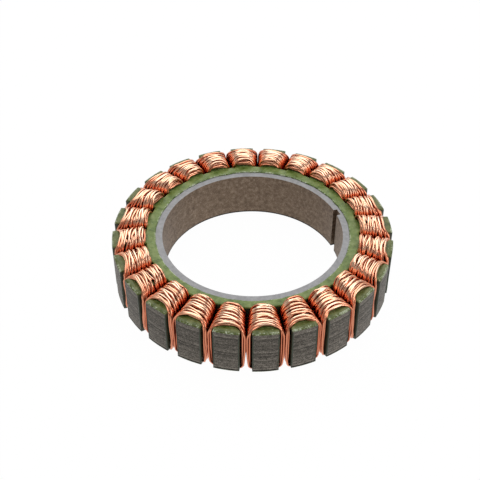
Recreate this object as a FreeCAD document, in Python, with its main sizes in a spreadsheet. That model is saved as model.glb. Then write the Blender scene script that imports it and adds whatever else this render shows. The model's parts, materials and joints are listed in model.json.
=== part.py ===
import FreeCAD, Part
import math
import os

import Sketcher

# Wound stator of a frameless outer-rotor motor, in millimetres.
# The ring's axis is Z, the stack's mid-height is z = 0, and the keyway and tooth 1 lie on +X.

# Driving dimensions
DIMENSIONS = {
    # Punched sheets
    "outer_radius": 40.0,
    "bore_radius": 25.7,
    "stack_height": 14.0,
    "tooth_count": 24,
    "tooth_width": 4.6,
    "tip_width": 6.8,
    "tip_depth": 2.0,
    "tip_edge_depth": 1.2,
    "keyway_width": 2.4,
    "keyway_depth": 1.1,
    "end_seat_depth": 0.05,
    # Powder coat
    "coat_thickness": 0.35,
    "bare_ring_width": 1.9,
    "coated_ring_width": 2.4,
    # Coils
    "coil_clearance": 0.05,
    "coil_end_clearance": 0.15,
    "coil_spacing": 0.16,
    "ridge_count": 4,
    "ridge_depth": 0.24,
    "mouth_bulge": 1.3,
    "crown_height_inner": 3.8,
    "crown_height_outer": 1.8,
    "crown_shoulder_inner": 3.3,
    "crown_shoulder_outer": 2.4,
    # Link wires under the yoke
    "wire_diameter": 0.65,
    "link_clearance": 0.03,
}

# Sizes that follow from the driving ones. The three tracks of link wire share the coated ring
# evenly, with a space at each edge.
DERIVED = {
    "tooth_pitch": "360 / tooth_count",
    "half_height": "stack_height / 2",
    "seat_height": "stack_height - 2 * end_seat_depth",
    "coated_height": "stack_height + 2 * coat_thickness",
    "tip_corner_x": "sqrt(outer_radius ^ 2 - (tip_width / 2) ^ 2)",
    "tip_root_x": "outer_radius - tip_depth",
    "tip_edge_x": "tip_corner_x - tip_edge_depth",
    "tip_slope": "2 * (tip_edge_x - tip_root_x) / (tip_width - tooth_width)",
    "tip_coat_shift": "coat_thickness * (sqrt(1 + tip_slope ^ 2) - tip_slope)",
    "coat_inner_radius": "bore_radius + bare_ring_width",
    "yoke_radius": "coat_inner_radius + coated_ring_width",
    "tooth_root_x": "(coat_inner_radius + yoke_radius) / 2",
    "slot_floor_radius": "yoke_radius + coat_thickness",
    "coat_neck_x": "tip_root_x - tip_coat_shift",
    "coat_edge_x": "tip_edge_x - tip_coat_shift",
    "coated_tooth_width": "tooth_width + 2 * coat_thickness",
    "coated_tip_width": "tip_width + 2 * coat_thickness",
    "coil_start_x": "slot_floor_radius + coil_end_clearance",
    "coil_end_x": "coat_neck_x - coil_end_clearance",
    "link_foot_radius": "coil_start_x - coil_clearance",
    "link_track_pitch": "(link_foot_radius - coat_inner_radius) / 4",
    "hollow_width": "coated_tooth_width + 2 * coil_clearance",
    "hollow_height": "coated_height + 2 * coil_clearance",
    "mouth_back_x": "coil_end_x - ridge_depth",
    "mouth_corner_x": "coat_edge_x - coil_end_clearance",
    "mouth_front_x": "coil_end_x + mouth_bulge",
    "mouth_near_y": "hollow_width / 2 + coil_clearance",
    "mouth_corner_y": "coated_tip_width / 2 + 2 * coil_clearance",
    "mouth_height": "stack_height - crown_shoulder_outer",
    "keyway_inner_x": "bore_radius - keyway_depth",
    "keyway_outer_x": "bore_radius + keyway_depth",
}

# Corners of half the arch of a coil's crown, as shares of its half width and of its rise
ARCH_CORNERS = ((1.0, 0.0), (0.84, 0.56), (0.38, 1.0))

# The phases, and the flat sides that stand in for a round wire
PHASES = ("u", "v", "w")
WIRE_SIDES = 5

# The sketcher's names for the sketch's origin point and its X axis
ORIGIN_POINT = (-1, 1)
X_AXIS = -1

doc = FreeCAD.newDocument("wound_stator")
sheet = doc.addObject("Spreadsheet::Sheet", "Dimensions")
for row, (alias, value) in enumerate((DIMENSIONS | DERIVED).items(), start=1):
    content = "=" + value if alias in DERIVED else str(value)
    sheet.set(f"A{row}", alias)
    sheet.set(f"B{row}", content)
    sheet.setAlias(f"B{row}", alias)
doc.recompute()


def size(alias):
    """Value of one cell of the sheet, as a plain number."""
    return float(getattr(sheet, alias))


def bound(alias):
    """Expression that reads one cell of the sheet."""
    return f"Dimensions.{alias}"


def new_body(name, label):
    """Empty body with a label of its own."""
    body = doc.addObject("PartDesign::Body", name)
    body.Label = label
    return body


def origin_feature(body, role):
    """Plane or axis of a body's own origin."""
    return [feature for feature in body.Origin.OriginFeatures if feature.Role == role][0]


def flat_sketch(body, name):
    """Sketch on the body's XY plane, at the stack's mid-height."""
    sketch = body.newObject("Sketcher::SketchObject", name)
    sketch.AttachmentSupport = (origin_feature(body, "XY_Plane"), [""])
    sketch.MapMode = "FlatFace"
    return sketch


def pad_both_ways(body, sketch, name, height):
    """Pad of a sketch, half of it above mid-height and half below."""
    pad = body.newObject("PartDesign::Pad", name)
    pad.Profile = sketch
    pad.Midplane = True
    pad.setExpression("Length", bound(height))
    doc.recompute()
    return pad


def dimension(sketch, name, alias, kind, *geometry):
    """Named sketch dimension, bound to a cell of the sheet."""
    index = sketch.addConstraint(Sketcher.Constraint(kind, *geometry, size(alias)))
    sketch.renameConstraint(index, name)
    sketch.setExpression(f"Constraints.{name}", bound(alias))


def close_outline(sketch, count):
    """Join each side's end to the next side's start."""
    for side in range(count):
        following = (side + 1) % count
        sketch.addConstraint(Sketcher.Constraint("Coincident", side, 2, following, 1))


def ring_outline(sketch, inner, rim):
    """Two circles round the ring's axis."""
    for side, alias in enumerate((inner, rim)):
        circle = Part.Circle(FreeCAD.Vector(0, 0, 0), FreeCAD.Vector(0, 0, 1), size(alias))
        sketch.addGeometry(circle, False)
        sketch.addConstraint(Sketcher.Constraint("Coincident", side, 3, *ORIGIN_POINT))
        dimension(sketch, f"radius_{side}", alias, "Radius", side)


def tooth_outline(sketch, neck_x, edge_x, width, tip_width):
    """T-shaped outline of the tooth on +X, with its tip on the outer circle."""
    root = size("tooth_root_x")
    radius = size("outer_radius")
    half = size(width) / 2
    half_tip = size(tip_width) / 2
    corner_x = math.sqrt(radius ** 2 - half_tip ** 2)
    lower = [(root, -half), (size(neck_x), -half), (size(edge_x), -half_tip), (corner_x, -half_tip)]
    upper = [(x, -y) for x, y in reversed(lower)]
    points = [FreeCAD.Vector(x, y, 0) for x, y in lower + upper]
    tip_side = len(lower) - 1
    last_side = len(points) - 1
    for side, start in enumerate(points):
        if side == tip_side:
            circle = Part.Circle(FreeCAD.Vector(0, 0, 0), FreeCAD.Vector(0, 0, 1), radius)
            reach = math.asin(half_tip / radius)
            sketch.addGeometry(Part.ArcOfCircle(circle, -reach, reach), False)
        else:
            end = points[(side + 1) % len(points)]
            sketch.addGeometry(Part.LineSegment(start, end), False)
    close_outline(sketch, len(points))
    for low in range(tip_side):
        mirrored = Sketcher.Constraint("Symmetric", low, 1, last_side - low, 1, X_AXIS)
        sketch.addConstraint(mirrored)
    for side in (0, tip_side - 1, tip_side + 1):
        sketch.addConstraint(Sketcher.Constraint("Horizontal", side))
    sketch.addConstraint(Sketcher.Constraint("Coincident", tip_side, 3, *ORIGIN_POINT))
    dimension(sketch, "tip_radius", "outer_radius", "Radius", tip_side)
    dimension(sketch, "root_x", "tooth_root_x", "DistanceX", *ORIGIN_POINT, 0, 1)
    dimension(sketch, "neck_x", neck_x, "DistanceX", *ORIGIN_POINT, 1, 1)
    dimension(sketch, "edge_x", edge_x, "DistanceX", *ORIGIN_POINT, 2, 1)
    dimension(sketch, "width", width, "DistanceY", 0, 1, last_side, 1)
    dimension(sketch, "tip_width", tip_width, "DistanceY", tip_side, 1, tip_side, 2)


def toothed_ring(body, inner, rim, height, **tooth):
    """Ring between two circles, with the tooth patterned round it."""
    ring_sketch = flat_sketch(body, body.Name + "RingOutline")
    ring_outline(ring_sketch, inner, rim)
    pad_both_ways(body, ring_sketch, body.Name + "Ring", height)
    tooth_sketch = flat_sketch(body, body.Name + "ToothOutline")
    tooth_outline(tooth_sketch, **tooth)
    tooth_pad = pad_both_ways(body, tooth_sketch, body.Name + "Tooth", height)
    teeth = body.newObject("PartDesign::PolarPattern", body.Name + "Teeth")
    teeth.Originals = [tooth_pad]
    teeth.Axis = (origin_feature(body, "Z_Axis"), [""])
    teeth.Angle = 360
    teeth.setExpression("Occurrences", bound("tooth_count"))
    body.Tip = teeth
    doc.recompute()


def keyway_outline(sketch):
    """Rectangle across the bore's edge on +X."""
    half = size("keyway_width") / 2
    near = size("keyway_inner_x")
    far = size("keyway_outer_x")
    corners = [(near, -half), (far, -half), (far, half), (near, half)]
    points = [FreeCAD.Vector(x, y, 0) for x, y in corners]
    for start, end in zip(points, points[1:] + points[:1]):
        sketch.addGeometry(Part.LineSegment(start, end), False)
    close_outline(sketch, len(points))
    for side in (0, 2):
        sketch.addConstraint(Sketcher.Constraint("Horizontal", side))
    sketch.addConstraint(Sketcher.Constraint("Vertical", 1))
    sketch.addConstraint(Sketcher.Constraint("Symmetric", 0, 1, 3, 1, X_AXIS))
    dimension(sketch, "near_x", "keyway_inner_x", "DistanceX", *ORIGIN_POINT, 0, 1)
    dimension(sketch, "far_x", "keyway_outer_x", "DistanceX", *ORIGIN_POINT, 1, 1)
    dimension(sketch, "width", "keyway_width", "DistanceY", 0, 1, 3, 1)


def lamination_stack():
    """Bonded stack of sheets: yoke, teeth with wide tips, bore and keyway.

    The bare ring at each end is faced clean of powder, as the seat of a shoulder.
    """
    body = new_body("Stack", "lamination_stack")
    seat_sketch = flat_sketch(body, "SeatRingOutline")
    ring_outline(seat_sketch, "bore_radius", "tooth_root_x")
    pad_both_ways(body, seat_sketch, "SeatRing", "seat_height")
    toothed_ring(
        body,
        inner="coat_inner_radius",
        rim="yoke_radius",
        height="stack_height",
        neck_x="tip_root_x",
        edge_x="tip_edge_x",
        width="tooth_width",
        tip_width="tip_width",
    )
    sketch = flat_sketch(body, "KeywayOutline")
    keyway_outline(sketch)
    keyway = body.newObject("PartDesign::Pocket", "Keyway")
    keyway.Profile = sketch
    keyway.Midplane = True
    keyway.setExpression("Length", bound("coated_height"))
    body.Tip = keyway
    doc.recompute()
    return body


def slot_coat(steel):
    """Powder coat on the ends and in the slots: the coated form less the steel inside it."""
    form = new_body("CoatForm", "coat_form")
    toothed_ring(
        form,
        inner="coat_inner_radius",
        rim="slot_floor_radius",
        height="coated_height",
        neck_x="coat_neck_x",
        edge_x="coat_edge_x",
        width="coated_tooth_width",
        tip_width="coated_tip_width",
    )
    coat = doc.addObject("Part::Cut", "Coat")
    coat.Label = "slot_coat"
    coat.Base = form
    coat.Tool = steel
    doc.recompute()
    return coat


def turn_outline(x, half_width, spring, top):
    """Corners of the winding's outline at one place along the tooth.

    Straight sides lie along the slots, and a low arch crowns each end of the stack.
    """
    right = [(out * half_width, spring + rise * (top - spring)) for out, rise in ARCH_CORNERS]
    arch = right + [(-y, z) for y, z in reversed(right)]
    foot = [(-y, -z) for y, z in arch]
    return [FreeCAD.Vector(x, y, z) for y, z in arch + foot]


def flat_face(*corners):
    """Flat face with straight edges through its corners."""
    return Part.Face(Part.makePolygon([*corners, corners[0]]))


def ridged_solid(outlines):
    """Solid through outlines that stand one behind the other, with flat faces between them."""
    faces = [flat_face(*outlines[0]), flat_face(*outlines[-1])]
    for near, far in zip(outlines, outlines[1:]):
        for corner in range(len(near)):
            following = (corner + 1) % len(near)
            faces.append(flat_face(near[corner], near[following], far[following]))
            faces.append(flat_face(near[corner], far[following], far[corner]))
    return Part.Solid(Part.makeShell(faces))


def slot_side(x):
    """Distance from the tooth's middle to the coil's side, at one place along the tooth."""
    return x * math.tan(math.radians(size("tooth_pitch") / 2)) - size("coil_spacing") / 2


def mouth_bulge(side):
    """Turns that stand out past the coil's end, in the slot's mouth beside the tooth's tip."""
    back_x = size("mouth_back_x")
    front_x = size("mouth_front_x")
    near_y = size("mouth_near_y")
    corner_y = size("mouth_corner_y")
    corners = [(back_x, near_y), (size("coil_end_x"), near_y), (size("mouth_corner_x"), corner_y)]
    corners += [(front_x, corner_y), (front_x, slot_side(front_x)), (back_x, slot_side(back_x))]
    height = size("mouth_height")
    outline = [FreeCAD.Vector(x, side * y, -height / 2) for x, y in corners]
    return flat_face(*outline).extrude(FreeCAD.Vector(0, 0, height))


def coil_shape():
    """Closed winding round the coated tooth on +X, its turns shown as ridges."""
    start_x = size("coil_start_x")
    end_x = size("coil_end_x")
    stations = 2 * round(size("ridge_count"))
    outlines = []
    for station in range(stations + 1):
        share = station / stations
        x = start_x + share * (end_x - start_x)
        valley = size("ridge_depth") if station % 2 == 0 else 0
        half_width = slot_side(x) - valley
        inner_crown = size("crown_height_inner")
        outer_crown = size("crown_height_outer")
        crown = inner_crown + share * (outer_crown - inner_crown) - valley
        inner_shoulder = size("crown_shoulder_inner")
        outer_shoulder = size("crown_shoulder_outer")
        shoulder = inner_shoulder + share * (outer_shoulder - inner_shoulder)
        half_height = size("half_height")
        outlines.append(turn_outline(x, half_width, half_height - shoulder, half_height + crown))
    margin = size("coil_end_clearance")
    length = end_x - start_x + 2 * margin
    width = size("hollow_width")
    height = size("hollow_height")
    corner = FreeCAD.Vector(start_x - margin, -width / 2, -height / 2)
    hollow = Part.makeBox(length, width, height, corner)
    winding = ridged_solid(outlines).cut(hollow)
    return winding.fuse([mouth_bulge(1), mouth_bulge(-1)]).removeSplitter()


def coils():
    """One coil on each tooth, numbered from the keyway."""
    shape = coil_shape()
    made = []
    for index in range(round(size("tooth_count"))):
        coil = doc.addObject("Part::Feature", f"Coil{index + 1:02d}")
        coil.Label = f"coil_{index + 1:02d}"
        coil.Shape = shape
        turn = FreeCAD.Rotation(FreeCAD.Vector(0, 0, 1), index * size("tooth_pitch"))
        coil.Placement = FreeCAD.Placement(FreeCAD.Vector(0, 0, 0), turn)
        coil.setExpression("Placement.Rotation.Angle", f"{index} * Dimensions.tooth_pitch")
        made.append(coil)
    return made


def on_ring(radius, angle, z):
    """Point at a radius, at an angle in degrees from +X, and at a height."""
    turn = math.radians(angle)
    return FreeCAD.Vector(radius * math.cos(turn), radius * math.sin(turn), z)


def wire_profile(centre, across):
    """Many-sided outline that stands in for a round wire, square to a level run."""
    radius = size("wire_diameter") / 2
    corners = []
    for step in range(WIRE_SIDES + 1):
        angle = 2 * math.pi * step / WIRE_SIDES
        rise = FreeCAD.Vector(0, 0, radius * math.cos(angle))
        corners.append(centre + across * (radius * math.sin(angle)) + rise)
    return Part.makePolygon(corners)


def link_wire(track, first_tooth, last_tooth):
    """Wire from one coil's foot, along the yoke's underside, to the next coil's foot.

    Each phase's track has its own radius and level, so that no two wires cross at one height.
    """
    wire = size("wire_diameter")
    layer = wire + size("link_clearance")
    depth = size("coated_height") / 2 + layer - wire / 2 + track * layer
    radius = size("coat_inner_radius") + (track + 1) * size("link_track_pitch")
    foot = size("link_foot_radius")
    angles = [tooth * size("tooth_pitch") for tooth in range(first_tooth, last_tooth + 1)]
    points = [on_ring(foot, angles[0], -depth)]
    points += [on_ring(radius, angle, -depth) for angle in angles]
    points.append(on_ring(foot, angles[-1], -depth))
    inward = (points[1] - points[0]).normalize()
    profile = wire_profile(points[0], inward.cross(FreeCAD.Vector(0, 0, 1)))
    make_solid = True
    square_corners = 1
    return Part.makePolygon(points).makePipeShell([profile], make_solid, False, square_corners)


def link_wires():
    """Links between the coil pairs of each phase, in the order in which the ring is wound."""
    made = []
    pair_step = 2 * len(PHASES)
    pairs = round(size("tooth_count")) // pair_step
    for track, phase in enumerate(PHASES):
        for pair in range(pairs - 1):
            last_of_pair = 1 + 2 * track + pair_step * pair
            first_of_next = last_of_pair + pair_step - 1
            link = doc.addObject("Part::Feature", f"Link{phase}{pair + 1}")
            link.Label = f"link_{phase}_{pair + 1}"
            link.Shape = link_wire(track, last_of_pair, first_of_next)
            made.append(link)
    return made


stack = lamination_stack()
pieces = [stack, slot_coat(stack), *coils(), *link_wires()]
doc.recompute()

for item in doc.Objects:
    if "Invalid" in item.State or "Error" in item.State:
        raise RuntimeError(f"{item.Label} failed: {item.State}")
for piece in pieces:
    if piece.Shape.isNull() or not piece.Shape.isValid():
        raise RuntimeError(f"{piece.Label} has no valid shape")

os.makedirs("parts", exist_ok=True)
for piece in pieces:
    piece.Shape.exportStep(f"parts/{piece.Label}.step")
    print(piece.Label, round(piece.Shape.Volume, 1))
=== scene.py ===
import json
import math
import random

import bpy
import numpy as np
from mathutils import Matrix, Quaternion, Vector, noise
from mathutils.geometry import delaunay_2d_cdt


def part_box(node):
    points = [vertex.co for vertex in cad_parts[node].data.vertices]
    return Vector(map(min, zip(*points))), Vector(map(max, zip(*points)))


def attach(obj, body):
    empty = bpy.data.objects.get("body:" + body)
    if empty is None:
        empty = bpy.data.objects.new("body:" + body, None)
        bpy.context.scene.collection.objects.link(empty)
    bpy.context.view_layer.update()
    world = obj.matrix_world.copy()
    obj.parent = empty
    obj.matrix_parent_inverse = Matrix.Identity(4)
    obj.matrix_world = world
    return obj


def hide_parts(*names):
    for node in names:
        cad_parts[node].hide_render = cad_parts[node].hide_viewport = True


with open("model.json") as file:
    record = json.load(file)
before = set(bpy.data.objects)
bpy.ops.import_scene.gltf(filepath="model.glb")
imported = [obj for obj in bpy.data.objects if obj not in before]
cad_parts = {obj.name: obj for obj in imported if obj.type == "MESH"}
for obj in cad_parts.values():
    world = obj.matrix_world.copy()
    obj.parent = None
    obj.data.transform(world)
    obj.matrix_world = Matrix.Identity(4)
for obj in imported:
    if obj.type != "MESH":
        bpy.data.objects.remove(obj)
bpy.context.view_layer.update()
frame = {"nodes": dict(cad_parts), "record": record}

# Sizes are in millimetres in this script, and meshes are made in metres
MM = 0.001

# Sizes read from the frame
stack_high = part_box("lamination_stack")[1]
coat_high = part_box("slot_coat")[1]
coil_low, coil_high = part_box("coil_01")
BORE_RADIUS = frame["record"]["mounts"][0]["dims"]["r_mm"]
OUTER_RADIUS = stack_high[1] / MM
HALF_HEIGHT = stack_high[2] / MM
TOOTH_COUNT = sum(1 for node in frame["nodes"] if node.startswith("coil_"))
PITCH = 2 * math.pi / TOOTH_COUNT
COIL_START = coil_low[0] / MM
COIL_REACH = coil_high[2] / MM
COAT = (coat_high[2] - stack_high[2]) / MM

# Steel sheets
SHEET_COUNT = 28
SHEET_SHIFT = 0.012
TIP_INSET = 0.07
SEAT_INSET = 0.04
YOKE_RADIUS = 30.0
TOOTH_WIDTH = 4.6
TIP_WIDTH = 6.8
NECK_X = 38.0
EDGE_X = 38.66
KEYWAY_WIDTH = 2.4
KEYWAY_DEPTH = 1.1
# Height of the band at the foot of the stack's sides where shade is painted near-black
BOTTOM_SHADE_BAND = 0.45

# Powder coat, with the dome that it makes on each tip
COAT_START_RADIUS = 27.6
COAT_NECK_X = 37.8
COAT_EDGE_X = 38.46
COAT_TIP_RADIUS = OUTER_RADIUS - 0.035
TIP_EDGE_COAT = 0.12
EDGE_ROUNDING = 0.28
TIP_ROUNDING = 0.9
START_ROUNDING = 0.5
DOME_START_X = 37.9
DOME_RUN = 0.9
DOME_HEIGHT = 0.16
DOME_HALF_WIDTH = 3.4
COAT_INSETS = (EDGE_ROUNDING, 0.16, 0.06, 0)
COAT_WALL_STEPS = 10
COAT_SHELL = 0.33
COAT_SEED = 3.7
GRID_SPACING = 0.42
RING_GRID_RADIUS = 28.0
TIP_GRID_X = 37.7
TIP_GRID_STEP = 0.4
RIM_STEPS = 420

# Bands along the bare ring, where the powder is chipped, and along the tip faces, where its pale
# chips are partly painted glints
RING_CHIP_BAND = 0.28
FACE_CHIP_AND_GLINT_BAND = 0.55

# Lumps in the powder: height, and how close together they lie
LUMPS = ((0.05, 0.8), (0.035, 2.3))

# Windings: a wire's turns lie side by side in layers, which count inwards from the outer one
WIRE_DIAMETER = 0.65
WIRE_SEED = 5
COIL_SPACING = 0.16
COIL_END = COAT_NECK_X - 0.15
OUTER_TURNS = 11
FIRST_TURN = 0.35
TURN_PITCH = 0.655
TURN_CLEARANCE = 0.05
LAYER_STEP = 0.88

# Where a turn begins to rise into its arch, at the coil's inner and outer end, and the arch's form
INNER_SPRING = 3.7
OUTER_SPRING = 4.6
SPRING_STEP = 0.4
CROWN_FALL = 0.25
CROWN_POWERS = (0.88, 0.75, 0.65, 0.55, 0.5)

# How the three outer layers lean outwards and spread in the slot's mouth
MOUTH_START_X = 33.5
MOUTH_RUN = 4
SIDE_LEANS = (1.5, 0.95, 1.35)
SIDE_SPREADS = (0.24, 0.5, 0.78)

# How uneven the turns are: their sway along the tooth, bow, lift and wander
TURN_SWAY = 0.15
TURN_BOW = 0.3
TURN_LIFT = 0.08
ODD_TURN_LIFT = 0.1
CROSSING_LIFT = 0.2
SLOW_WANDER = 0.18
QUICK_WANDER = 0.45
GATHER_X = 0.6
GATHER_Y = 0.7

# Coils whose inner end stands low, by how much
LOW_CROWNS = {16: 0.9, 17: 0.8}

# Places along the tooth: the coil's ends, where turns look out or in, and where the slot's shade ends
OUTER_FLANK_X = 36.4
INNER_FLANK_X = COIL_START + 0.9
SHADE_END_X = 37.2

# Points along a turn and round its wire
ARCH_STEPS = 15
SIDE_STEPS = 5
WIRE_SIDES = 10

# Link wires under the yoke
LINK_FOOT_RADIUS = 30.75
LINK_TRACK_PITCH = 0.7125
LINK_LAYER = 0.68
LINK_STEPS = 45
LINK_SIDES = 12
PHASES = ("u", "v", "w")

# Surroundings
FLOOR_RADIUS = 900
FLOOR_GAP = 0.02

# Camera
CAMERA_AZIMUTH = -110.33
CAMERA_ELEVATION = 42.47
CAMERA_DISTANCE = 276.0
CAMERA_ROLL = 0.48
LENS = 71.2
SHIFT = (-0.0260, 0.0211)


def clamped(value):
    """A value held between zero and one."""
    return min(1, max(0, value))


# Objects and meshes
def add_object(name, mesh):
    """Object at the origin with that mesh."""
    piece = bpy.data.objects.new(name, mesh)
    bpy.context.scene.collection.objects.link(piece)
    return piece


def mesh_from(name, points, edges=(), faces=()):
    """Mesh in metres from points in millimetres."""
    mesh = bpy.data.meshes.new(name)
    scaled = [tuple(c * MM for c in point) for point in points]
    mesh.from_pydata(scaled, list(edges), list(faces))
    mesh.update()
    return mesh


def carry_numbers(mesh, name, values):
    """Give each point of a mesh a number that its material reads."""
    mesh.attributes.new(name, "FLOAT", "POINT").data.foreach_set("value", values)


def carry_directions(mesh, name, directions):
    """Give each point of a mesh a direction that its material reads."""
    flat = [part for direction in directions for part in direction]
    mesh.attributes.new(name, "FLOAT_VECTOR", "POINT").data.foreach_set("vector", flat)


def finished(piece, smooth=True):
    """The same piece as a plain object with all its modifiers applied."""
    graph = bpy.context.evaluated_depsgraph_get()
    mesh = bpy.data.meshes.new_from_object(piece.evaluated_get(graph))
    mesh.name = piece.name
    for polygon in mesh.polygons:
        polygon.use_smooth = smooth
    piece.modifiers.clear()
    piece.data = mesh
    return piece


def add_node(tree, kind, **settings):
    """Node of a tree, with its properties set."""
    node = tree.nodes.new(kind)
    for key, value in settings.items():
        setattr(node, key, value)
    return node


def geometry_tree(name, inputs):
    """Geometry Nodes tree with a geometry in and out, the named inputs and a material."""
    tree = bpy.data.node_groups.new(name, "GeometryNodeTree")
    tree.interface.new_socket("Geometry", in_out="INPUT", socket_type="NodeSocketGeometry")
    for label, kind in (*inputs, ("Material", "Material")):
        tree.interface.new_socket(label, in_out="INPUT", socket_type="NodeSocket" + kind)
    tree.interface.new_socket("Geometry", in_out="OUTPUT", socket_type="NodeSocketGeometry")
    return tree, add_node(tree, "NodeGroupInput"), add_node(tree, "NodeGroupOutput")


def end_tree(tree, source, result, geometry):
    """Last nodes of a tree: everything made real, with its material."""
    real = add_node(tree, "GeometryNodeRealizeInstances")
    dress = add_node(tree, "GeometryNodeSetMaterial")
    tree.links.new(geometry, real.inputs["Geometry"])
    tree.links.new(real.outputs["Geometry"], dress.inputs["Geometry"])
    tree.links.new(source.outputs["Material"], dress.inputs["Material"])
    tree.links.new(dress.outputs["Geometry"], result.inputs["Geometry"])


def shape_with(piece, tree, values, smooth=True):
    """Run a Geometry Nodes tree on a piece, with its inputs found by their names."""
    modifier = piece.modifiers.new(tree.name, "NODES")
    modifier.node_group = tree
    for item in tree.interface.items_tree:
        if item.item_type == "SOCKET" and item.in_out == "INPUT" and item.name in values:
            modifier[item.identifier] = values[item.name]
    return finished(piece, smooth)


def sheet_tree():
    """Sheets laid on each other along Z, each a hair out of line and with a tone of its own."""
    tree, source, result = geometry_tree(
        "stack_sheets",
        (("Count", "Int"), ("Start", "Vector"), ("Step", "Vector"), ("Shift", "Vector")),
    )
    line = add_node(tree, "GeometryNodeMeshLine", mode="OFFSET")
    place = add_node(tree, "GeometryNodeInstanceOnPoints")
    shift = add_node(tree, "FunctionNodeRandomValue", data_type="FLOAT_VECTOR")
    back = add_node(tree, "ShaderNodeVectorMath", operation="SCALE")
    back.inputs["Scale"].default_value = -1
    move = add_node(tree, "GeometryNodeTranslateInstances")
    tone = add_node(tree, "FunctionNodeRandomValue", data_type="FLOAT")
    tone.inputs["Seed"].default_value = 5
    keep = add_node(tree, "GeometryNodeStoreNamedAttribute", domain="INSTANCE", data_type="FLOAT")
    keep.inputs["Name"].default_value = "sheet_tone"
    links = tree.links
    links.new(source.outputs["Count"], line.inputs["Count"])
    links.new(source.outputs["Start"], line.inputs["Start Location"])
    links.new(source.outputs["Step"], line.inputs["Offset"])
    links.new(line.outputs["Mesh"], place.inputs["Points"])
    links.new(source.outputs["Geometry"], place.inputs["Instance"])
    links.new(source.outputs["Shift"], back.inputs[0])
    links.new(back.outputs[0], shift.inputs[0])
    links.new(source.outputs["Shift"], shift.inputs[1])
    links.new(place.outputs["Instances"], move.inputs["Instances"])
    links.new(shift.outputs[0], move.inputs["Translation"])
    links.new(move.outputs["Instances"], keep.inputs["Geometry"])
    links.new(tone.outputs[1], keep.inputs["Value"])
    end_tree(tree, source, result, keep.outputs["Geometry"])
    return tree


def wire_tree():
    """Round wire along a line of points."""
    tree, source, result = geometry_tree("round_wire", (("Wire radius", "Float"), ("Sides", "Int")))
    line = add_node(tree, "GeometryNodeMeshToCurve")
    ring = add_node(tree, "GeometryNodeCurvePrimitiveCircle", mode="RADIUS")
    sweep = add_node(tree, "GeometryNodeCurveToMesh")
    sweep.inputs["Fill Caps"].default_value = True
    links = tree.links
    links.new(source.outputs["Geometry"], line.inputs["Mesh"])
    links.new(source.outputs["Sides"], ring.inputs["Resolution"])
    links.new(source.outputs["Wire radius"], ring.inputs["Radius"])
    links.new(line.outputs["Curve"], sweep.inputs["Curve"])
    links.new(ring.outputs["Curve"], sweep.inputs["Profile Curve"])
    end_tree(tree, source, result, sweep.outputs["Mesh"])
    return tree


# Shaders
def new_material(name):
    """Empty node material and its Principled shader."""
    material = bpy.data.materials.new(name)
    material.use_nodes = True
    tree = material.node_tree
    tree.nodes.clear()
    shader = add_node(tree, "ShaderNodeBsdfPrincipled")
    output = add_node(tree, "ShaderNodeOutputMaterial")
    tree.links.new(shader.outputs["BSDF"], output.inputs["Surface"])
    return material, tree, shader


def plug(tree, value, socket):
    """A socket linked, or a number or colour set on an input."""
    if isinstance(value, bpy.types.NodeSocket):
        tree.links.new(value, socket)
    elif isinstance(value, tuple):
        socket.default_value = (*value, 1)
    else:
        socket.default_value = value


def calculate(tree, operation, *values):
    """Math node whose inputs are sockets or numbers."""
    node = add_node(tree, "ShaderNodeMath", operation=operation)
    for value, socket in zip(values, node.inputs):
        plug(tree, value, socket)
    return node.outputs[0]


def ramp(tree, factor, *stops):
    """Colour ramp through (place, colour) stops."""
    node = add_node(tree, "ShaderNodeValToRGB")
    elements = node.color_ramp.elements
    while len(elements) < len(stops):
        elements.new(0.5)
    for element, (place, colour) in zip(elements, stops):
        element.position = place
        element.color = (*colour, 1)
    tree.links.new(factor, node.inputs["Fac"])
    return node.outputs["Color"]


def fade_in(tree, factor, start, end):
    """Mask that goes from none at the start to all at the end."""
    return ramp(tree, factor, (start, (0, 0, 0)), (end, (1, 1, 1)))


def mix_colour(tree, factor, first, second, blend="MIX"):
    """Colour between two colours."""
    node = add_node(tree, "ShaderNodeMix", data_type="RGBA", blend_type=blend)
    for value, index in ((factor, 0), (first, 6), (second, 7)):
        plug(tree, value, node.inputs[index])
    return node.outputs[2]


def split(tree, vector):
    """X, Y and Z outputs of a vector."""
    node = add_node(tree, "ShaderNodeSeparateXYZ")
    tree.links.new(vector, node.inputs[0])
    return node.outputs


def own_place(tree):
    """X, Y and Z outputs of the place on the piece, in metres."""
    return split(tree, add_node(tree, "ShaderNodeTexCoord").outputs["Object"])


def add_bump(tree, shader, height, strength, depth):
    """Bump of a height on the shader's normal, its depth in millimetres."""
    bump = add_node(tree, "ShaderNodeBump")
    bump.inputs["Strength"].default_value = strength
    bump.inputs["Distance"].default_value = depth * MM
    tree.links.new(height, bump.inputs["Height"])
    tree.links.new(bump.outputs["Normal"], shader.inputs["Normal"])


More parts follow.
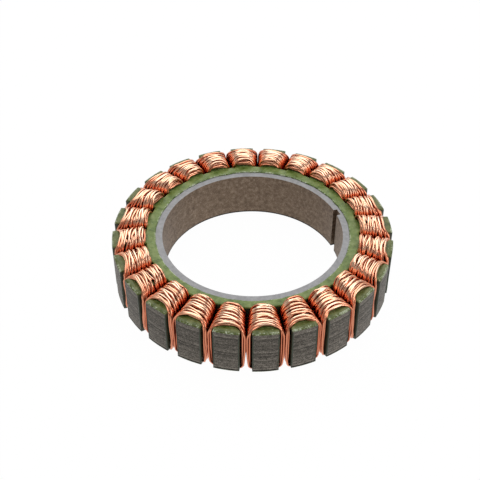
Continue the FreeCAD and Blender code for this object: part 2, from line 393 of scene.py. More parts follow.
def mottle_group():
    """Blotches and fine grain of sizes in millimetres, squeezed along the ring's axis."""
    tree = bpy.data.node_groups.new("mottle", "ShaderNodeTree")
    for label, value in (("Blotch size", 3.0), ("Grain size", 0.4), ("Squeeze", 1.0)):
        socket = tree.interface.new_socket(label, in_out="INPUT", socket_type="NodeSocketFloat")
        socket.default_value = value
    for label in ("Blotch", "Grain"):
        tree.interface.new_socket(label, in_out="OUTPUT", socket_type="NodeSocketFloat")
    source = add_node(tree, "NodeGroupInput")
    result = add_node(tree, "NodeGroupOutput")
    place = add_node(tree, "ShaderNodeTexCoord")
    squeeze = add_node(tree, "ShaderNodeCombineXYZ")
    squeeze.inputs["X"].default_value = 1
    squeeze.inputs["Y"].default_value = 1
    tree.links.new(source.outputs["Squeeze"], squeeze.inputs["Z"])
    scaled = add_node(tree, "ShaderNodeVectorMath", operation="MULTIPLY")
    tree.links.new(place.outputs["Object"], scaled.inputs[0])
    tree.links.new(squeeze.outputs[0], scaled.inputs[1])
    for label, detail in (("Blotch", 3.0), ("Grain", 2.0)):
        texture = add_node(tree, "ShaderNodeTexNoise")
        texture.inputs["Detail"].default_value = detail
        density = calculate(tree, "DIVIDE", 1 / MM, source.outputs[label + " size"])
        tree.links.new(scaled.outputs[0], texture.inputs["Vector"])
        tree.links.new(density, texture.inputs["Scale"])
        tree.links.new(texture.outputs["Fac"], result.inputs[label])
    return tree


MOTTLE = mottle_group()


def mottle(tree, blotch_size, grain_size, squeeze=1.0):
    """Blotch and grain masks of a material."""
    node = add_node(tree, "ShaderNodeGroup", node_tree=MOTTLE)
    node.inputs["Blotch size"].default_value = blotch_size
    node.inputs["Grain size"].default_value = grain_size
    node.inputs["Squeeze"].default_value = squeeze
    return node.outputs["Blotch"], node.outputs["Grain"]


def attribute(tree, name):
    """Value that a piece's mesh carries."""
    return add_node(tree, "ShaderNodeAttribute", attribute_name=name).outputs["Fac"]


# Materials
def sheet_steel():
    """Punched sheets: dark and streaked on the teeth, browner in the bore, pale on the ends, with
    painted shade along the foot of their sides.
    """
    material, tree, shader = new_material("sheet_steel")
    blotch, grain = mottle(tree, 0.9, 0.22, squeeze=2.0)
    broad, fine = mottle(tree, 1.1, 0.28)
    streaks = calculate(tree, "MULTIPLY", attribute(tree, "sheet_tone"), 0.14)
    rubbed = calculate(tree, "MULTIPLY_ADD", blotch, 0.3, streaks)
    mixed = calculate(tree, "MULTIPLY_ADD", grain, 0.65, rubbed)
    tooth = ramp(
        tree,
        mixed,
        (0.42, (0.030, 0.026, 0.021)),
        (0.55, (0.095, 0.083, 0.068)),
        (0.68, (0.270, 0.240, 0.205)),
    )
    worn = calculate(tree, "MULTIPLY_ADD", fine, 0.5, calculate(tree, "MULTIPLY", broad, 0.5))
    bore = ramp(
        tree,
        worn,
        (0.36, (0.105, 0.074, 0.050)),
        (0.5, (0.185, 0.130, 0.088)),
        (0.64, (0.280, 0.212, 0.155)),
    )
    end = ramp(tree, broad, (0.3, (0.185, 0.185, 0.19)), (0.7, (0.25, 0.25, 0.255)))
    edge = mix_colour(tree, attribute(tree, "bore_zone"), tooth, bore)
    # Painted shade: the lowest band of the sides is near-black, a dark line of shade along the lower
    # edge
    painted_bottom_shade = calculate(tree, "LESS_THAN", own_place(tree)["Z"], -(HALF_HEIGHT - BOTTOM_SHADE_BAND) * MM)
    edge = mix_colour(tree, painted_bottom_shade, edge, (0.018, 0.015, 0.013))
    facing = split(tree, add_node(tree, "ShaderNodeNewGeometry").outputs["Normal"])
    upward = calculate(tree, "ABSOLUTE", facing["Z"])
    flat = calculate(tree, "GREATER_THAN", upward, 0.9)
    tree.links.new(mix_colour(tree, flat, edge, end), shader.inputs["Base Color"])
    rough = calculate(tree, "MULTIPLY_ADD", grain, 0.25, 0.38)
    tree.links.new(rough, shader.inputs["Roughness"])
    tree.links.new(calculate(tree, "MULTIPLY_ADD", flat, -0.5, 0.7), shader.inputs["Metallic"])
    add_bump(tree, shader, grain, 0.5, 0.06)
    return material


def powder_coat():
    """Green epoxy powder: glossy, with soft lumps, pale specks and chips; painted shade darkens its
    upright walls and its tips, and near the tip faces the pale chips are partly painted glints.
    """
    material, tree, shader = new_material("powder_coat")
    blotch, grain = mottle(tree, 1.6, 0.35)
    colour = ramp(
        tree,
        blotch,
        (0.3, (0.064, 0.102, 0.018)),
        (0.5, (0.116, 0.165, 0.040)),
        (0.72, (0.185, 0.230, 0.082)),
    )
    place = own_place(tree)
    square_x = calculate(tree, "MULTIPLY", place["X"], place["X"])
    squares = calculate(tree, "MULTIPLY_ADD", place["Y"], place["Y"], square_x)
    radius = calculate(tree, "SQRT", squares)
    # Painted shade: the coat on the tips is multiplied darker
    on_tip = calculate(tree, "GREATER_THAN", radius, COAT_NECK_X * MM)
    colour = mix_colour(tree, on_tip, colour, (0.74, 0.62, 0.63), blend="MULTIPLY")
    specks = fade_in(tree, grain, 0.66, 0.78)
    pale = mix_colour(tree, specks, colour, (0.36, 0.42, 0.28))
    near_bore = calculate(tree, "LESS_THAN", radius, (COAT_START_RADIUS + RING_CHIP_BAND) * MM)
    near_face = calculate(tree, "GREATER_THAN", radius, (COAT_TIP_RADIUS - FACE_CHIP_AND_GLINT_BAND) * MM)
    at_end = calculate(tree, "MAXIMUM", near_bore, near_face)
    # Pale chips along the bare ring; along the tip faces they are partly chips and partly painted
    # glints
    broken = calculate(tree, "MULTIPLY_ADD", grain, 0.6, calculate(tree, "MULTIPLY", blotch, 0.5))
    chips = fade_in(tree, broken, 0.55, 0.64)
    chips_and_glints = calculate(tree, "MULTIPLY", at_end, chips)
    chip_and_glint_colour = mix_colour(tree, near_bore, (0.34, 0.38, 0.27), (0.40, 0.44, 0.33))
    pale = mix_colour(tree, chips_and_glints, pale, chip_and_glint_colour)
    # Painted shade: off the end faces, on the upright walls, the coat is near-black green
    height = calculate(tree, "ABSOLUTE", place["Z"])
    on_end = calculate(tree, "GREATER_THAN", height, (HALF_HEIGHT - 0.05) * MM)
    shade_painted_on_walls = mix_colour(tree, on_end, (0.030, 0.040, 0.022), pale)
    tree.links.new(shade_painted_on_walls, shader.inputs["Base Color"])
    rough = calculate(tree, "MULTIPLY_ADD", blotch, 0.3, 0.2)
    tree.links.new(rough, shader.inputs["Roughness"])
    shader.inputs["Specular IOR Level"].default_value = 0.25
    add_bump(tree, shader, grain, 0.6, 0.07)
    return material


def magnet_wire():
    """Enamelled copper wire: salmon metal on the crests, with painted shade in deep red on the
    flanks, between the turns and the coils, and on the inner layers.
    """
    material, tree, shader = new_material("magnet_wire")
    blotch, grain = mottle(tree, 1.8, 0.5)
    tone = calculate(tree, "MULTIPLY", attribute(tree, "turn_tone"), 0.4)
    mixed = calculate(tree, "MULTIPLY_ADD", blotch, 0.6, tone)
    crest = ramp(
        tree,
        mixed,
        (0.25, (0.88, 0.49, 0.30)),
        (0.5, (0.94, 0.63, 0.43)),
        (0.75, (0.97, 0.75, 0.56)),
    )
    away = add_node(tree, "ShaderNodeAttribute", attribute_name="outward").outputs["Vector"]
    facing = add_node(tree, "ShaderNodeNewGeometry")
    match = add_node(tree, "ShaderNodeVectorMath", operation="DOT_PRODUCT")
    tree.links.new(away, match.inputs[0])
    tree.links.new(facing.outputs["Normal"], match.inputs[1])
    # Painted shade: the inner layers count as less open, so they are darker
    layer = calculate(tree, "MULTIPLY", attribute(tree, "turn_layer"), 0.08)
    open_side = calculate(tree, "SUBTRACT", match.outputs["Value"], layer)
    # Painted shade: where the winding's outside faces sideways rather than up or down, its crests are
    # made redder
    upright = calculate(tree, "ABSOLUTE", split(tree, away)["Z"])
    crowned = fade_in(tree, upright, 0.58, 0.94)
    crest = mix_colour(tree, crowned, (0.80, 0.33, 0.19), crest)
    # Painted shade: where a wire's surface faces away from the winding's outside, between the turns,
    # it is deep red
    painted_flank_shade = ramp(
        tree,
        open_side,
        (0.0, (0.32, 0.066, 0.027)),
        (0.2, (0.50, 0.135, 0.064)),
        (0.5, (0.79, 0.30, 0.17)),
    )
    on_top = fade_in(tree, open_side, 0.45, 0.9)
    open_colour = mix_colour(tree, on_top, painted_flank_shade, crest)
    # Painted shade between the coils and in the slot's mouth, deep red by the turn_shade number
    colour = mix_colour(tree, attribute(tree, "turn_shade"), open_colour, (0.42, 0.13, 0.07))
    tree.links.new(colour, shader.inputs["Base Color"])
    rough = calculate(tree, "MULTIPLY_ADD", grain, 0.16, 0.1)
    tree.links.new(rough, shader.inputs["Roughness"])
    shader.inputs["Metallic"].default_value = 1.0
    return material


def floor_paint():
    """White floor that stays white to the camera and keeps a soft shadow."""
    material, tree, shader = new_material("floor_paint")
    shader.inputs["Base Color"].default_value = (0.9, 0.9, 0.9, 1)
    shader.inputs["Roughness"].default_value = 0.9
    glow = add_node(tree, "ShaderNodeEmission")
    glow.inputs["Strength"].default_value = 1
    seen = calculate(tree, "MULTIPLY", seen_rays(tree), 0.985)
    blend = add_node(tree, "ShaderNodeMixShader")
    output = next(node for node in tree.nodes if node.type == "OUTPUT_MATERIAL")
    tree.links.new(seen, blend.inputs[0])
    tree.links.new(shader.outputs["BSDF"], blend.inputs[1])
    tree.links.new(glow.outputs["Emission"], blend.inputs[2])
    tree.links.new(blend.outputs[0], output.inputs["Surface"])
    return material


def seen_rays(tree):
    """One for what the camera sees directly, mirrored or through glass."""
    path = add_node(tree, "ShaderNodeLightPath")
    mirrored = calculate(
        tree, "MAXIMUM", path.outputs["Is Glossy Ray"], path.outputs["Is Transmission Ray"]
    )
    return calculate(tree, "MAXIMUM", path.outputs["Is Camera Ray"], mirrored)


# Steel sheets
def on_circle(radius, start, end, steps):
    """Points of an arc round the axis, its end left out."""
    angles = [start + (end - start) * step / steps for step in range(steps)]
    return [(radius * math.cos(angle), radius * math.sin(angle)) for angle in angles]


def between(start, end, steps):
    """Points of a straight run, its end left out."""
    shares = [step / steps for step in range(steps)]
    return [tuple(a + (b - a) * share for a, b in zip(start, end)) for share in shares]


def turned(points, angle):
    """Points, in the plane or in space, turned about the axis."""
    c, s = math.cos(angle), math.sin(angle)
    return [(x * c - y * s, x * s + y * c, *z) for x, y, *z in points]


def sheet_outline():
    """Punched outline of one sheet, tooth after tooth."""
    half, half_tip = TOOTH_WIDTH / 2, TIP_WIDTH / 2
    radius = OUTER_RADIUS - TIP_INSET
    root = math.asin(half / YOKE_RADIUS)
    reach = math.asin(half_tip / radius)
    lower = on_circle(YOKE_RADIUS, -PITCH / 2, -root, 2)
    lower += [(YOKE_RADIUS * math.cos(root), -half), (NECK_X, -half), (EDGE_X, -half_tip)]
    upper = [(x, -y) for x, y in reversed(lower[1:])]
    pitch = lower + on_circle(radius, -reach, reach, 6) + turned([(radius, 0)], reach) + upper
    return [point for tooth in range(TOOTH_COUNT) for point in turned(pitch, tooth * PITCH)]


def bore_outline():
    """Bore with its keyway on +X, run the other way round."""
    half = math.asin(KEYWAY_WIDTH / 2 / BORE_RADIUS)
    arc = on_circle(BORE_RADIUS, half, 2 * math.pi - half, 200)
    arc += turned([(BORE_RADIUS, 0)], -half)
    far = BORE_RADIUS + KEYWAY_DEPTH
    return (arc + [(far, -KEYWAY_WIDTH / 2), (far, KEYWAY_WIDTH / 2)])[::-1]


def inset_loop(loop, amount):
    """Closed plane loop moved to its left by an amount."""
    points = np.array(loop)
    before = points - np.roll(points, 1, axis=0)
    after = np.roll(points, -1, axis=0) - points
    before /= np.linalg.norm(before, axis=1)[:, None]
    after /= np.linalg.norm(after, axis=1)[:, None]
    both = before + after
    normals = np.stack([-both[:, 1], both[:, 0]], axis=1)
    moved = points + 2 * amount * normals / (normals ** 2).sum(axis=1)[:, None]
    return [tuple(point) for point in moved]


def goes_round(loop, centres):
    """Which of some points a closed plane loop goes round."""
    inside = np.zeros(len(centres), bool)
    x, y = centres[:, 0], centres[:, 1]
    for (x0, y0), (x1, y1) in zip(loop, loop[1:] + loop[:1]):
        if y0 != y1:
            crosses = (y0 > y) != (y1 > y)
            inside ^= crosses & (x0 + (y - y0) / (y1 - y0) * (x1 - x0) > x)
    return inside


def filled_ring(outer, inner, extra=()):
    """Triangles, as indices, that fill the flat space between two loops and meet extra points."""
    flat = list(outer) + list(inner) + list(extra)
    edges = []
    start = 0
    for loop in (outer, inner):
        count = len(loop)
        edges += [(start + i, start + (i + 1) % count) for i in range(count)]
        start += count
    result = delaunay_2d_cdt([Vector(point) for point in flat], edges, [], 0, 1e-9)
    spots = np.array([tuple(point) for point in result[0]])
    triangles = np.array([face for face in result[2] if len(face) == 3])
    corners = spots[triangles]
    centres = corners.mean(axis=1)
    wanted = goes_round(list(outer), centres) & ~goes_round(list(inner), centres)
    sides = corners[:, 1:] - corners[:, :1]
    turning = sides[:, 0, 0] * sides[:, 1, 1] - sides[:, 0, 1] * sides[:, 1, 0]
    triangles[turning < 0] = triangles[turning < 0][:, ::-1]
    origin = [sources[0] if sources else None for sources in result[3]]
    return [tuple(origin[i] for i in face) for face in triangles[wanted]]


def one_sheet(thickness):
    """One punched sheet, its edges rolled a little by the punch: height and inset of each row."""
    outer, bore = sheet_outline(), bore_outline()
    outer_rings = [(0, 0.03), (0.05, 0), (thickness - 0.10, 0), (thickness - 0.01, 0.06)]
    bore_rings = [(0, 0.01), (0.04, 0), (thickness - 0.05, 0), (thickness - 0.01, 0.04)]
    points = []
    faces = []
    starts = []
    for loop, rings in ((outer, outer_rings), (bore, bore_rings)):
        count = len(loop)
        starts.append(len(points))
        for z, inset in rings:
            points += [(x, y, z) for x, y in inset_loop(loop, inset)]
        for ring in range(len(rings) - 1):
            for i in range(count):
                a = starts[-1] + ring * count + i
                b = starts[-1] + ring * count + (i + 1) % count
                faces.append((a, b, b + count, a + count))
    top_starts = [start + 3 * len(loop) for start, loop in zip(starts, (outer, bore))]
    for ends, upward in ((starts, False), (top_starts, True)):
        rows = [points[start:start + len(loop)] for start, loop in zip(ends, (outer, bore))]
        plans = [[(x, y) for x, y, z in row] for row in rows]
        numbers = [start + i for start, loop in zip(ends, (outer, bore)) for i in range(len(loop))]
        for face in filled_ring(*plans):
            corners = tuple(numbers[i] for i in face)
            faces.append(corners if upward else corners[::-1])
    mesh = mesh_from("sheet", points, faces=faces)
    zone = [float(math.hypot(x, y) < YOKE_RADIUS - 1) for x, y, z in points]
    carry_numbers(mesh, "bore_zone", zone)
    return mesh


def steel_sheets(material):
    """The whole stack of sheets."""
    height = 2 * (HALF_HEIGHT - SEAT_INSET)
    thickness = height / SHEET_COUNT
    stack = add_object("sheets", one_sheet(thickness))
    values = {
        "Count": SHEET_COUNT,
        "Start": (0, 0, -height / 2 * MM),
        "Step": (0, 0, thickness * MM),
        "Shift": (SHEET_SHIFT * MM, SHEET_SHIFT * MM, 0),
        "Material": material,
    }
    return shape_with(stack, sheet_tree(), values, smooth=False)


# Powder coat
def coat_outline():
    """Outline of the coated teeth, and for each run whether it crosses a bare tip face."""
    half = TOOTH_WIDTH / 2 + COAT
    half_tip = TIP_WIDTH / 2 + TIP_EDGE_COAT
    floor_radius = YOKE_RADIUS + COAT
    root = math.asin(half / floor_radius)
    reach = math.asin(half_tip / COAT_TIP_RADIUS)
    foot = (floor_radius * math.cos(root), -half)
    tip_corner = (COAT_TIP_RADIUS * math.cos(reach), -half_tip)
    lower = on_circle(floor_radius, -PITCH / 2, -root, 3)
    lower += between(foot, (COAT_NECK_X, -half), 5)
    lower += between((COAT_NECK_X, -half), (COAT_EDGE_X, -half_tip), 3)
    lower += between((COAT_EDGE_X, -half_tip), tip_corner, 3)
    arc = on_circle(COAT_TIP_RADIUS, -reach, reach, 16)
    upper = [(x, -y) for x, y in reversed(lower[1:])]
    pitch = lower + arc + [(tip_corner[0], half_tip)] + upper
    bare = [len(lower) <= i < len(lower) + len(arc) for i in range(len(pitch))]
    outline = [point for tooth in range(TOOTH_COUNT) for point in turned(pitch, tooth * PITCH)]
    return outline, bare * TOOTH_COUNT


def rounded(distance, radius):
    """Height, up to one, of a rounded edge at a distance from its end."""
    return math.sqrt(1 - (1 - clamped(distance / radius)) ** 2)


def start_radius(angle, seed):
    """Radius at which the powder ends on the yoke, uneven round the ring."""
    place = Vector((9 * math.cos(angle), 9 * math.sin(angle), seed))
    fine = Vector((40 * math.cos(angle), 40 * math.sin(angle), seed))
    return COAT_START_RADIUS + 0.16 * noise.noise(place) + 0.10 * noise.noise(fine)


def coat_level(x, y, edge_distance, seed):
    """Height of the powder's top over one point of its plan."""
    radius = math.hypot(x, y)
    angle = math.atan2(y, x)
    start = start_radius(angle, seed)
    share = min(
        rounded(edge_distance, EDGE_ROUNDING),
        rounded(COAT_TIP_RADIUS - radius, TIP_ROUNDING),
        rounded(radius - start, START_ROUNDING),
    )
    across = radius * math.sin((angle + PITCH / 2) % PITCH - PITCH / 2)
    on_tip = clamped((radius - DOME_START_X) / DOME_RUN)
    dome = DOME_HEIGHT * on_tip * max(0, 1 - (across / DOME_HALF_WIDTH) ** 2)
    return HALF_HEIGHT + (COAT + dome) * share


def coat_grid():
    """Extra plan points where the powder shows: close together on the ring and on the tips."""
    points = []
    for row in range(6):
        radius = RING_GRID_RADIUS + GRID_SPACING * row
        start = row % 2 * 0.007
        points += on_circle(radius, start, 2 * math.pi + start, RIM_STEPS)
    spots = []
    for column in range(6):
        for row in range(-8, 9):
            x = TIP_GRID_X + TIP_GRID_STEP * column
            y = GRID_SPACING * row + TIP_GRID_STEP / 2 * (column % 2)
            half_width = DOME_HALF_WIDTH if x > COAT_EDGE_X + 0.3 else 2.2
            if abs(y) < half_width and math.hypot(x, y) < COAT_TIP_RADIUS - 0.15:
                spots.append((x, y))
    for tooth in range(TOOTH_COUNT):
        points += turned(spots, tooth * PITCH)
    return points


def coat_walls(outline, bare):
    """Skin of the powder's rounded edges and upright walls, open at the tip faces."""
    count = len(outline)
    points = []
    for side in (1, -1):
        for inset in COAT_INSETS:
            loop = inset_loop(outline, inset)
            points += [(x, y, side * coat_level(x, y, inset, side * COAT_SEED)) for x, y in loop]
    for step in range(1, COAT_WALL_STEPS):
        z = HALF_HEIGHT - 2 * HALF_HEIGHT * step / COAT_WALL_STEPS
        points += [(x, y, z) for x, y in outline]
    rows = len(COAT_INSETS)
    bottom = rows * count
    middle = range(2 * rows, 2 * rows + COAT_WALL_STEPS - 1)
    wall_rows = [row * count for row in (rows - 1, *middle, 2 * rows - 1)]
    faces = []
    for i in range(count):
        j = (i + 1) % count
        for row in range(rows - 1):
            a, b = row * count + i, row * count + j
            faces.append((a + count, b + count, b, a))
            faces.append((bottom + a, bottom + b, bottom + b + count, bottom + a + count))
        if not bare[i]:
            for upper, lower in zip(wall_rows, wall_rows[1:]):
                faces.append((lower + i, lower + j, upper + j, upper + i))
    return points, faces


def coat_skin():
    """Outer skin of the powder, open at the bare ring and the tip faces."""
    outline, bare = coat_outline()
    count = len(outline)
    points, faces = coat_walls(outline, bare)
    plan = inset_loop(outline, EDGE_ROUNDING)
    grid = coat_grid()
    angles = [2 * math.pi * step / RIM_STEPS for step in range(RIM_STEPS)]
    for side, first in ((1, 0), (-1, len(COAT_INSETS) * count)):
        starts = [start_radius(angle, side * COAT_SEED) for angle in angles]
        rings = []
        for out in (0, 0.08, 0.22):
            polar = [(start + out, angle) for start, angle in zip(starts, angles)]
            rings += [(r * math.cos(a), r * math.sin(a)) for r, a in polar]
        rim, extra = rings[:RIM_STEPS], rings[RIM_STEPS:] + grid
        base = len(points)
        points += [(x, y, side * coat_level(x, y, 1, side * COAT_SEED)) for x, y in rim + extra]
        for face in filled_ring(plan, rim, extra):
            corners = tuple(first + i if i < count else base + i - count for i in face)
            faces.append(corners if side > 0 else corners[::-1])
    return points, faces


def drop_loose(points, faces):
    """The same faces on only the points that they use."""
    used = sorted({i for face in faces for i in face})
    number = {old: new for new, old in enumerate(used)}
    return [points[i] for i in used], [tuple(number[i] for i in face) for face in faces]


def slot_powder(material):
    """Powder coat with lumps, as a closed shell on the steel."""
    points, faces = drop_loose(*coat_skin())
    mesh = mesh_from("powder", points, faces=faces)
    normals = [vertex.normal.copy() for vertex in mesh.vertices]
    for vertex, normal in zip(mesh.vertices, normals):
        place = vertex.co / MM
        lump = sum(height * noise.noise(place * density) for height, density in LUMPS)
        if place.xy.length < OUTER_RADIUS - 0.2:
            vertex.co += normal * lump * MM
    coat = add_object("powder", mesh)
    shell = coat.modifiers.new("shell", "SOLIDIFY")
    shell.thickness = COAT_SHELL * MM
    shell.offset = -1
    finished(coat)
    coat.data.materials.append(material)
    return coat


# Windings
def along_coil(x):
    """Place along the tooth, from the coil's inner end (0) to its outer end (1)."""
    return clamped((x - COIL_START) / (COIL_END - COIL_START))


def crown_top(x, low):
    """Height of the outside of the winding over the tooth's middle."""
    return COIL_REACH - CROWN_FALL * (x - COIL_START) - low * (1 - along_coil(x))


def turn_shape(x, layer, low, lift):
    """Half width, height, spring and sideways lean of one turn's centre line."""
    room = x * math.tan(PITCH / 2) - COIL_SPACING / 2
    inwards = WIRE_DIAMETER * (LAYER_STEP * layer + 0.5)
    tight = TOOTH_WIDTH / 2 + COAT + WIRE_DIAMETER / 2 + TURN_CLEARANCE
    base = HALF_HEIGHT + COAT + WIRE_DIAMETER / 2 + TURN_CLEARANCE
    width = max(room - inwards, tight)
    top = max(crown_top(x, low) - inwards, base)
    spring = INNER_SPRING + (OUTER_SPRING - INNER_SPRING) * along_coil(x) + SPRING_STEP * layer
    mouth = clamped((x - MOUTH_START_X) / MOUTH_RUN) ** 2
    lean = mouth * SIDE_LEANS[min(layer, 2)]
    return width + mouth * SIDE_SPREADS[min(layer, 2)], top + lift, spring, lean


def winding_order(pick):
    """Turns of one coil in the order in which they are wound: place along the tooth and layer."""
    places = [COIL_START + FIRST_TURN + TURN_PITCH * i for i in range(OUTER_TURNS)]
    order = [(places[0], 4), (places[0], 3), (places[0], 2), (places[1], 2)]
    order += [(x, 2) for x in places[-3:]]
    order += [(x - TURN_PITCH / 2, 1) for x in reversed(places[1:])]
    outer = [(x, 0) for x in places]
    for start in (pick.randrange(1, 4), pick.randrange(5, 8)):
        outer[start], outer[start + 1] = outer[start + 1], outer[start]
    return order + outer


def arch(half_width, spring, top, share, power):
    """Point of the arch over the tooth, from its right side (0) to its left side (1)."""
    angle = math.pi * share
    c, s = math.cos(angle), max(0, math.sin(angle))
    y = half_width * math.copysign(abs(c) ** power, c)
    return y, spring + (top - spring) * s ** power


def round_the_tooth(shape, right, left, power):
    """First three runs of a turn: down its right side, under the tooth and up its left side."""
    width, top, spring, lean = shape
    loop = []
    for step in range(SIDE_STEPS):
        loop.append((right + lean, width, spring - 2 * spring * step / SIDE_STEPS))
    for step in range(ARCH_STEPS):
        share = step / ARCH_STEPS
        y, z = arch(width, spring, top, share, power)
        loop.append((right + (left - right) * share + lean * abs(y / width) ** 3, y, -z))
    for step in range(SIDE_STEPS):
        loop.append((left + lean, -width, 2 * spring * step / SIDE_STEPS - spring))
    return loop


def over_the_tooth(shape, next_shape, left, next_right, bows, power):
    """Last run of a turn: over the tooth, to where the turn that follows begins."""
    loop = []
    for step in range(ARCH_STEPS):
        share = step / ARCH_STEPS
        ease = share * share * (3 - 2 * share)
        width, top, spring, lean = (a + (b - a) * ease for a, b in zip(shape, next_shape))
        y, z = arch(width, spring, top, 1 - share, power)
        bow = 0.5 * bows[0] * math.sin(math.pi * share) + bows[1] * math.sin(2 * math.pi * share)
        loop.append((left + (next_right - left) * ease + bow + lean * abs(y / width) ** 3, y, z))
    return loop


def loosened(points, layers, number):
    """The same wire, gathered low in the slot's mouth, and wandering as wound wire does."""
    loose = []
    for step, (x, y, z) in enumerate(points):
        low_down = clamped(-z / 5) * (1 - abs(abs(z) - 4) / 12)
        gather = low_down * max(0, along_coil(x) - 0.5) * (layers[step] < 0.5)
        x += GATHER_X * gather
        y -= math.copysign(GATHER_Y * gather, y) if abs(y) > 3 else 0
        slow = noise.noise_vector(Vector((number * 11.3, 0.5, step * 0.13))) * SLOW_WANDER
        quick = noise.noise_vector(Vector((number * 7.1, 4.5, step * 0.3))) * QUICK_WANDER
        rise = quick.z * clamped((abs(z) - OUTER_SPRING) / 2)
        loose.append((x + slow.x + quick.x, y + 0.4 * slow.y, z + 0.4 * slow.z + 0.45 * rise))
    return loose


def coil_path(number):
    """Centre line of one coil's wire on the first tooth, and the tone and layer of each point."""
    pick = random.Random(100 + number)
    low = LOW_CROWNS.get(number, pick.uniform(0, 0.15))
    order = winding_order(pick)
    sway = [(pick.uniform(-1, 1) * TURN_SWAY, pick.uniform(-1, 1) * TURN_SWAY) for turn in order]
    bows = [(pick.uniform(-1, 1) * TURN_BOW, pick.uniform(-1, 1) * TURN_BOW) for turn in order]
    lifts = [pick.uniform(0, TURN_LIFT) + ODD_TURN_LIFT * (turn % 2) for turn in range(len(order))]
    points = []
    tones = []
    layers = []
    for turn, (x, layer) in enumerate(order):
        following = min(turn + 1, len(order) - 1)
        right, left = x + sway[turn][0], x + sway[turn][1]
        next_right = order[following][0] + sway[following][0]
        crossing = abs(next_right - left) > 1.2 * TURN_PITCH
        lift = -lifts[turn] + (CROSSING_LIFT if crossing else 0)
        shape = turn_shape(x, layer, low, lift)
        next_shape = turn_shape(*order[following], low, lift)
        power = CROWN_POWERS[layer]
        loop = round_the_tooth(shape, right, left, power)
        loop += over_the_tooth(shape, next_shape, left, next_right, bows[turn], power)
        points += loop
        tones += [pick.random()] * len(loop)
        layers += [float(layer)] * len(loop)
    return loosened(points, layers, number), tones, layers


def outward(x, y, z):
    """Direction away from the winding at a point of a turn, which also looks out at each end."""
    flat = max(0, abs(z) - OUTER_SPRING)
    away = Vector((0, y, math.copysign(flat, z))).normalized()
    outer = clamped((x - OUTER_FLANK_X) / 0.8)
    inner = clamped((INNER_FLANK_X - x) / 0.5)
    return (away + Vector((0.6 * outer - inner, 0, 0))).normalized()


def slot_shade(x, z):
    """How deep in shade a turn lies at a point: most between two coils, less in the mouth."""
    low = clamped((OUTER_SPRING + 3 - abs(z)) / 2.4)
    return low * (0.45 + 0.5 * clamped(SHADE_END_X - x))


def wire_piece(mesh, tree, sides, material):
    """Round wire along the points of a mesh."""
    values = {"Wire radius": WIRE_DIAMETER / 2 * MM, "Sides": sides, "Material": material}
    return shape_with(add_object(mesh.name, mesh), tree, values)


def centre_line(name, points):
    """Mesh of a line through points, one after the other."""
    return mesh_from(name, points, edges=[(i, i + 1) for i in range(len(points) - 1)])


def winding(number, tree, material):
    """One coil, wound with real wire."""
    points, tones, layers = coil_path(number)
    angle = number * PITCH
    mesh = centre_line(f"winding_{number + 1:02d}", turned(points, angle))
    carry_numbers(mesh, "turn_tone", tones)
    carry_numbers(mesh, "turn_layer", layers)
    carry_numbers(mesh, "turn_shade", [slot_shade(x, z) for x, y, z in points])
    carry_directions(mesh, "outward", turned([outward(*point) for point in points], angle))
    return wire_piece(mesh, tree, WIRE_SIDES, material)


def link_path(track, first_tooth, last_tooth):
    """Centre line of a link wire: in from one coil's foot, along its track, and out to the next."""
    depth = -(HALF_HEIGHT + COAT + LINK_LAYER - WIRE_DIAMETER / 2 + track * LINK_LAYER)
    radius = COAT_START_RADIUS + (track + 1) * LINK_TRACK_PITCH
    start, end = first_tooth * PITCH, last_tooth * PITCH
    bend = 0.5 / radius
    polar = [(LINK_FOOT_RADIUS, start), (radius + 0.5, start), (radius + 0.15, start + bend * 0.3)]
    for step in range(LINK_STEPS + 1):
        share = step / LINK_STEPS
        polar.append((radius, start + bend + (end - start - 2 * bend) * share))
    polar += [(radius + 0.15, end - bend * 0.3), (radius + 0.5, end), (LINK_FOOT_RADIUS, end)]
    return [(r * math.cos(a), r * math.sin(a), depth) for r, a in polar]


def link(node, tree, material):
    """Wire that joins two coils of one phase, on the underside."""
    phase, number = node.split("_")[1:]
    track = PHASES.index(phase)
    first = 1 + 2 * track + 6 * (int(number) - 1)
    points = link_path(track, first, first + 5)
    mesh = centre_line(f"wire_{phase}_{number}", points)
    carry_directions(mesh, "outward", [(0.0, 0.0, -1.0)] * len(points))
    return wire_piece(mesh, tree, LINK_SIDES, material)


# Surroundings
def floor(material):
    """Round white floor under the coils."""
    level = -COIL_REACH - FLOOR_GAP
    rim = [(x, y, level) for x, y in on_circle(FLOOR_RADIUS, 0, 2 * math.pi, 96)]
    ground = add_object("floor", mesh_from("floor", rim, faces=[range(len(rim))]))
    ground.data.materials.append(material)


def soft_light(name, place, width, height, power):
    """Wide lamp that faces the part."""
    lamp = bpy.data.lights.new(name, "AREA")
    lamp.shape = "RECTANGLE"
    lamp.size = width
    lamp.size_y = height
    lamp.energy = power
    holder = bpy.data.objects.new(name, lamp)
    holder.location = place
    holder.rotation_mode = "QUATERNION"
    holder.rotation_quaternion = (-Vector(place)).to_track_quat("-Z", "Y")
    bpy.context.scene.collection.objects.link(holder)


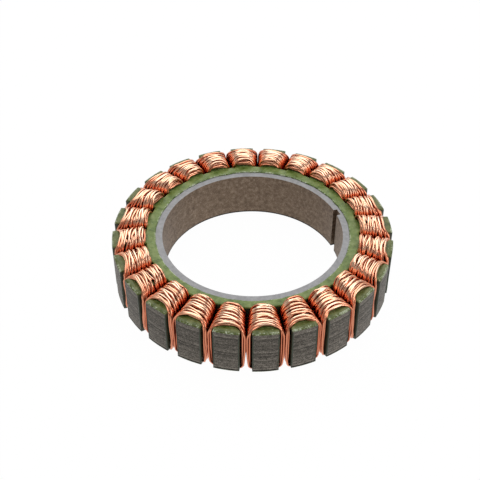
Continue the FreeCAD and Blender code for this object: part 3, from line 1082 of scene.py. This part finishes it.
def sky():
    """Plain surroundings: white at the horizon, dimmer overhead."""
    world = bpy.data.worlds.new("sky")
    world.use_nodes = True
    tree = world.node_tree
    background = next(node for node in tree.nodes if node.type == "BACKGROUND")
    direction = split(tree, add_node(tree, "ShaderNodeTexCoord").outputs["Generated"])
    shades = ramp(
        tree,
        direction["Z"],
        (0.05, (1, 1, 1)),
        (0.3, (0.5, 0.5, 0.5)),
        (1, (0.3, 0.3, 0.3)),
    )
    tree.links.new(shades, background.inputs["Color"])
    behind = calculate(tree, "MULTIPLY_ADD", direction["Y"], 0.22, 0.86)
    tree.links.new(behind, background.inputs["Strength"])
    bpy.context.scene.world = world


def photo_camera():
    """Camera that stands where the photograph was taken from."""
    lens = bpy.data.cameras.new("camera")
    lens.lens = LENS
    lens.sensor_width = 36
    lens.clip_start = 0.01
    lens.clip_end = 20
    lens.shift_x, lens.shift_y = SHIFT
    camera = bpy.data.objects.new("camera", lens)
    azimuth, elevation = math.radians(CAMERA_AZIMUTH), math.radians(CAMERA_ELEVATION)
    flat = math.cos(elevation)
    back = Vector((flat * math.cos(azimuth), flat * math.sin(azimuth), math.sin(elevation)))
    camera.location = back * CAMERA_DISTANCE * MM
    camera.rotation_mode = "QUATERNION"
    roll = Quaternion((0, 0, 1), math.radians(CAMERA_ROLL))
    camera.rotation_quaternion = (-back).to_track_quat("-Z", "Y") @ roll
    bpy.context.scene.collection.objects.link(camera)
    bpy.context.scene.camera = camera


def settle(piece, node):
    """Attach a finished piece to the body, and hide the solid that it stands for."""
    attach(piece, "root")
    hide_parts(node)


def build():
    """Every piece of the stator, then its surroundings."""
    noise.seed_set(WIRE_SEED)
    settle(steel_sheets(sheet_steel()), "lamination_stack")
    settle(slot_powder(powder_coat()), "slot_coat")
    copper = magnet_wire()
    wire = wire_tree()
    for number in range(TOOTH_COUNT):
        settle(winding(number, wire, copper), f"coil_{number + 1:02d}")
    for node in sorted(frame["nodes"]):
        if node.startswith("link_"):
            settle(link(node, wire, copper), node)
    floor(floor_paint())
    soft_light("key", place=(0.08, 0.22, 0.58), width=0.92, height=1.28, power=6.7)
    soft_light("fill", place=(0.36, -0.40, 0.30), width=0.3, height=0.3, power=0.9)
    sky()
    photo_camera()
    bpy.context.scene.view_settings.view_transform = "Standard"


build()
